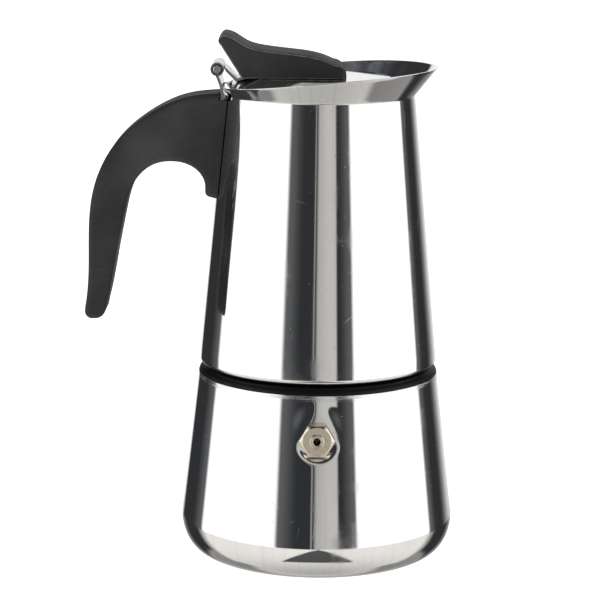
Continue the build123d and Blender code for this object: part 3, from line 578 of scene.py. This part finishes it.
def boiler_outline(turn):
    foot = arc((FOOT_R, WIDEST[1]), FOOT_ROUND, WIDEST[1], 270, 356.5, 34)
    top = toward(WIDEST, CONE_TOP, 0.5)
    low, high = (
        (WIDEST[0] - CONE_SLOPE * (z - WIDEST[1]), z) for z in (VALVE_Z - 11, VALVE_Z + 15))
    edge = toward(CONE_TOP, high, 0.3)
    outside = [(0.0, 0.0), (20.0, 0.0), (34.0, 0.0), (40.0, 0.0)] + foot
    outside += bent(foot[-1], WIDEST, top)[1:-1]
    outside += line(top, low, 2.0) + line(low, high, 0.5) + line(high, edge, 1.0)
    outside += bent(edge, CONE_TOP, toward(CONE_TOP, WELD_EDGE, 0.3), 4)
    inner_top, inner_widest = WELD_EDGE, (WIDEST[0] - WALL, WIDEST[1])
    inside = line(inner_top, inner_widest, 1.3)
    inside += arc((FOOT_R, WIDEST[1]), FOOT_ROUND - WALL, WIDEST[1] - WALL, 360, 270, 20)
    return outside + inside + [(30.0, WALL), (0.0, WALL)]


def add_boiler_shell():
    """Fine columns round the valve, where the wall is pressed flat, and coarser ones elsewhere."""
    fine = [math.radians(-90 + a / 4) for a in range(-68, 68)]
    coarse = [math.radians(-73 + a * 326 / 316) for a in range(316)]
    piece = spin("boiler_shell_drawn", boiler_outline, fine + coarse, False)
    for vertex in piece.data.vertices:
        x, y, z = (c / MM for c in vertex.co)
        off = math.hypot(x, z - VALVE_Z)
        above = max(0.0, z - VALVE_Z) / max(off, 1e-6)
        reach = LAND_END_R + LAND_END_EXTRA * above ** 2
        if y > 0 or off > reach:
            continue
        outside_r = CONE_TOP[0] + CONE_SLOPE * (CONE_TOP[1] - z)
        inset = WALL if math.hypot(x, y) < outside_r - WALL / 2 else 0.0
        t = min(1.0, max(0.0, (off - LAND_R) / (reach - LAND_R)))
        pressed_in = 1 - t * t * t * (t * (t * 6 - 15) + 10)
        move = (inset - LAND_OUT) - y
        if move < 0:
            move *= above ** 2
        vertex.co.y = (y + move * pressed_in) * MM
    drill = bmesh.new()
    bmesh.ops.create_cone(
        drill, cap_ends=True, segments=64, radius1=VALVE_HOLE_R * MM, radius2=VALVE_HOLE_R * MM,
        depth=12 * MM)
    spot = Matrix.Translation((0, -LAND_OUT * MM, VALVE_Z * MM))
    facing = Matrix.Rotation(math.pi / 2, 4, "X")
    half_step = Matrix.Rotation(math.pi / 64, 4, "Z")       # keeps its corners off the shell's own
    bmesh.ops.transform(drill, matrix=spot @ facing @ half_step, verts=drill.verts)
    cut(piece, drill)
    settle(piece, "boiler_shell", "boiler", "polished_steel")


add_boiler_shell()

# jug: rolled lower edge, cone, crease and a flared collar whose rim rises to the lip
ROLL_C, ROLL_R, ROLL_LIP_R = (41.25, 72.15), 2.05, 40.2
CREASE = (34.2, 168.2)
TAPER = (43.3 - CREASE[0]) / (CREASE[1] - ROLL_C[1])
FLARE = 0.8
RIM = ((-36.5, 170.9), (0.0, 175.7), (42.5, 178.6))
NOTCH_HALF_W = 10.4


def circle_through(a, b, c):
    """Centre and radius of the circle through three corners."""
    d = 2 * (a[0] * (b[1] - c[1]) + b[0] * (c[1] - a[1]) + c[0] * (a[1] - b[1]))
    squares = [p[0] ** 2 + p[1] ** 2 for p in (a, b, c)]
    x = (squares[0] * (b[1] - c[1]) + squares[1] * (c[1] - a[1]) + squares[2] * (a[1] - b[1])) / d
    z = (squares[0] * (c[0] - b[0]) + squares[1] * (a[0] - c[0]) + squares[2] * (b[0] - a[0])) / d
    return x, z, math.dist((x, z), a)


RIM_X, RIM_Z, RIM_R = circle_through(*RIM)


def flare_end(turn, inset):
    """Where the collar's face, inset from its outside, meets the rim at this turn."""
    z = RIM[1][1]
    for _ in range(40):
        r = CREASE[0] + FLARE * (z - CREASE[1]) - inset
        x = r * math.cos(turn) - RIM_X
        z += 0.5 * (RIM_Z + math.copysign(math.sqrt(RIM_R ** 2 - x * x), RIM[1][1] - RIM_Z) - z)
    return CREASE[0] + FLARE * (z - CREASE[1]) - inset, z


def jug_outline(turn):
    thick_cone = WALL * math.hypot(1, TAPER)
    thick_flare = WALL * math.hypot(1, FLARE)
    rise = WALL * (math.hypot(1, FLARE) - math.hypot(1, TAPER)) / (FLARE + TAPER)
    inner_crease = (CREASE[0] - TAPER * rise - thick_cone, CREASE[1] + rise)
    roll = arc(ROLL_C, ROLL_R, ROLL_R, 270, 360, 14)
    below, above = toward(CREASE, roll[-1], 0.35), flare_end(turn, 0)
    outer_end, inner_end = above, flare_end(turn, thick_flare)
    outside = roll[:-1] + line(roll[-1], below, 4.0)
    bend_end = toward(CREASE, outer_end, 0.35)
    outside += bent(below, CREASE, bend_end, 4)[:-1]
    rim_low = toward(outer_end, CREASE, 0.34)
    outside += line(bend_end, rim_low, count=8)
    rim_in = toward(inner_end, inner_crease, 0.34)
    middle = ((outer_end[0] + inner_end[0]) / 2, (outer_end[1] + inner_end[1]) / 2)
    lip = bent(rim_low, outer_end, middle, 4) + bent(middle, inner_end, rim_in, 4)[1:]
    inner_roll = arc(ROLL_C, ROLL_R - WALL, ROLL_R - WALL, 360, 270, 8)
    inside = line(rim_in, inner_crease, count=8)[1:]
    inside += line(inner_crease, inner_roll[0], 6.0) + inner_roll
    foot_z = ROLL_C[1] - ROLL_R
    return outside + lip + inside + [(ROLL_LIP_R, foot_z + WALL), (ROLL_LIP_R, foot_z)]


def add_collector_shell():
    piece = spin("collector_shell_drawn", jug_outline, [math.radians(a) for a in range(360)], True)
    notch = bmesh.new()
    bmesh.ops.create_cube(notch, size=1.0)
    size, centre = (34.2, 2 * NOTCH_HALF_W, 12.8), (-34.2, 0.0, CREASE[1] + 6.4)
    bmesh.ops.transform(notch, verts=notch.verts, matrix=Matrix.Translation(
        Vector(centre) * MM) @ Matrix.Diagonal((*(c * MM for c in size), 1)))
    cut(piece, notch)
    settle(piece, "collector_shell", "collector", "polished_steel")


add_collector_shell()


def add_spring():
    node = frame["nodes"]["valve_spring"]
    coil = bpy.data.objects.new("valve_spring_coil", node.data.copy())
    scene.collection.objects.link(coil)
    settle(coil, "valve_spring", "boiler", "spring_steel", 50)
    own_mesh(coil)


add_spring()
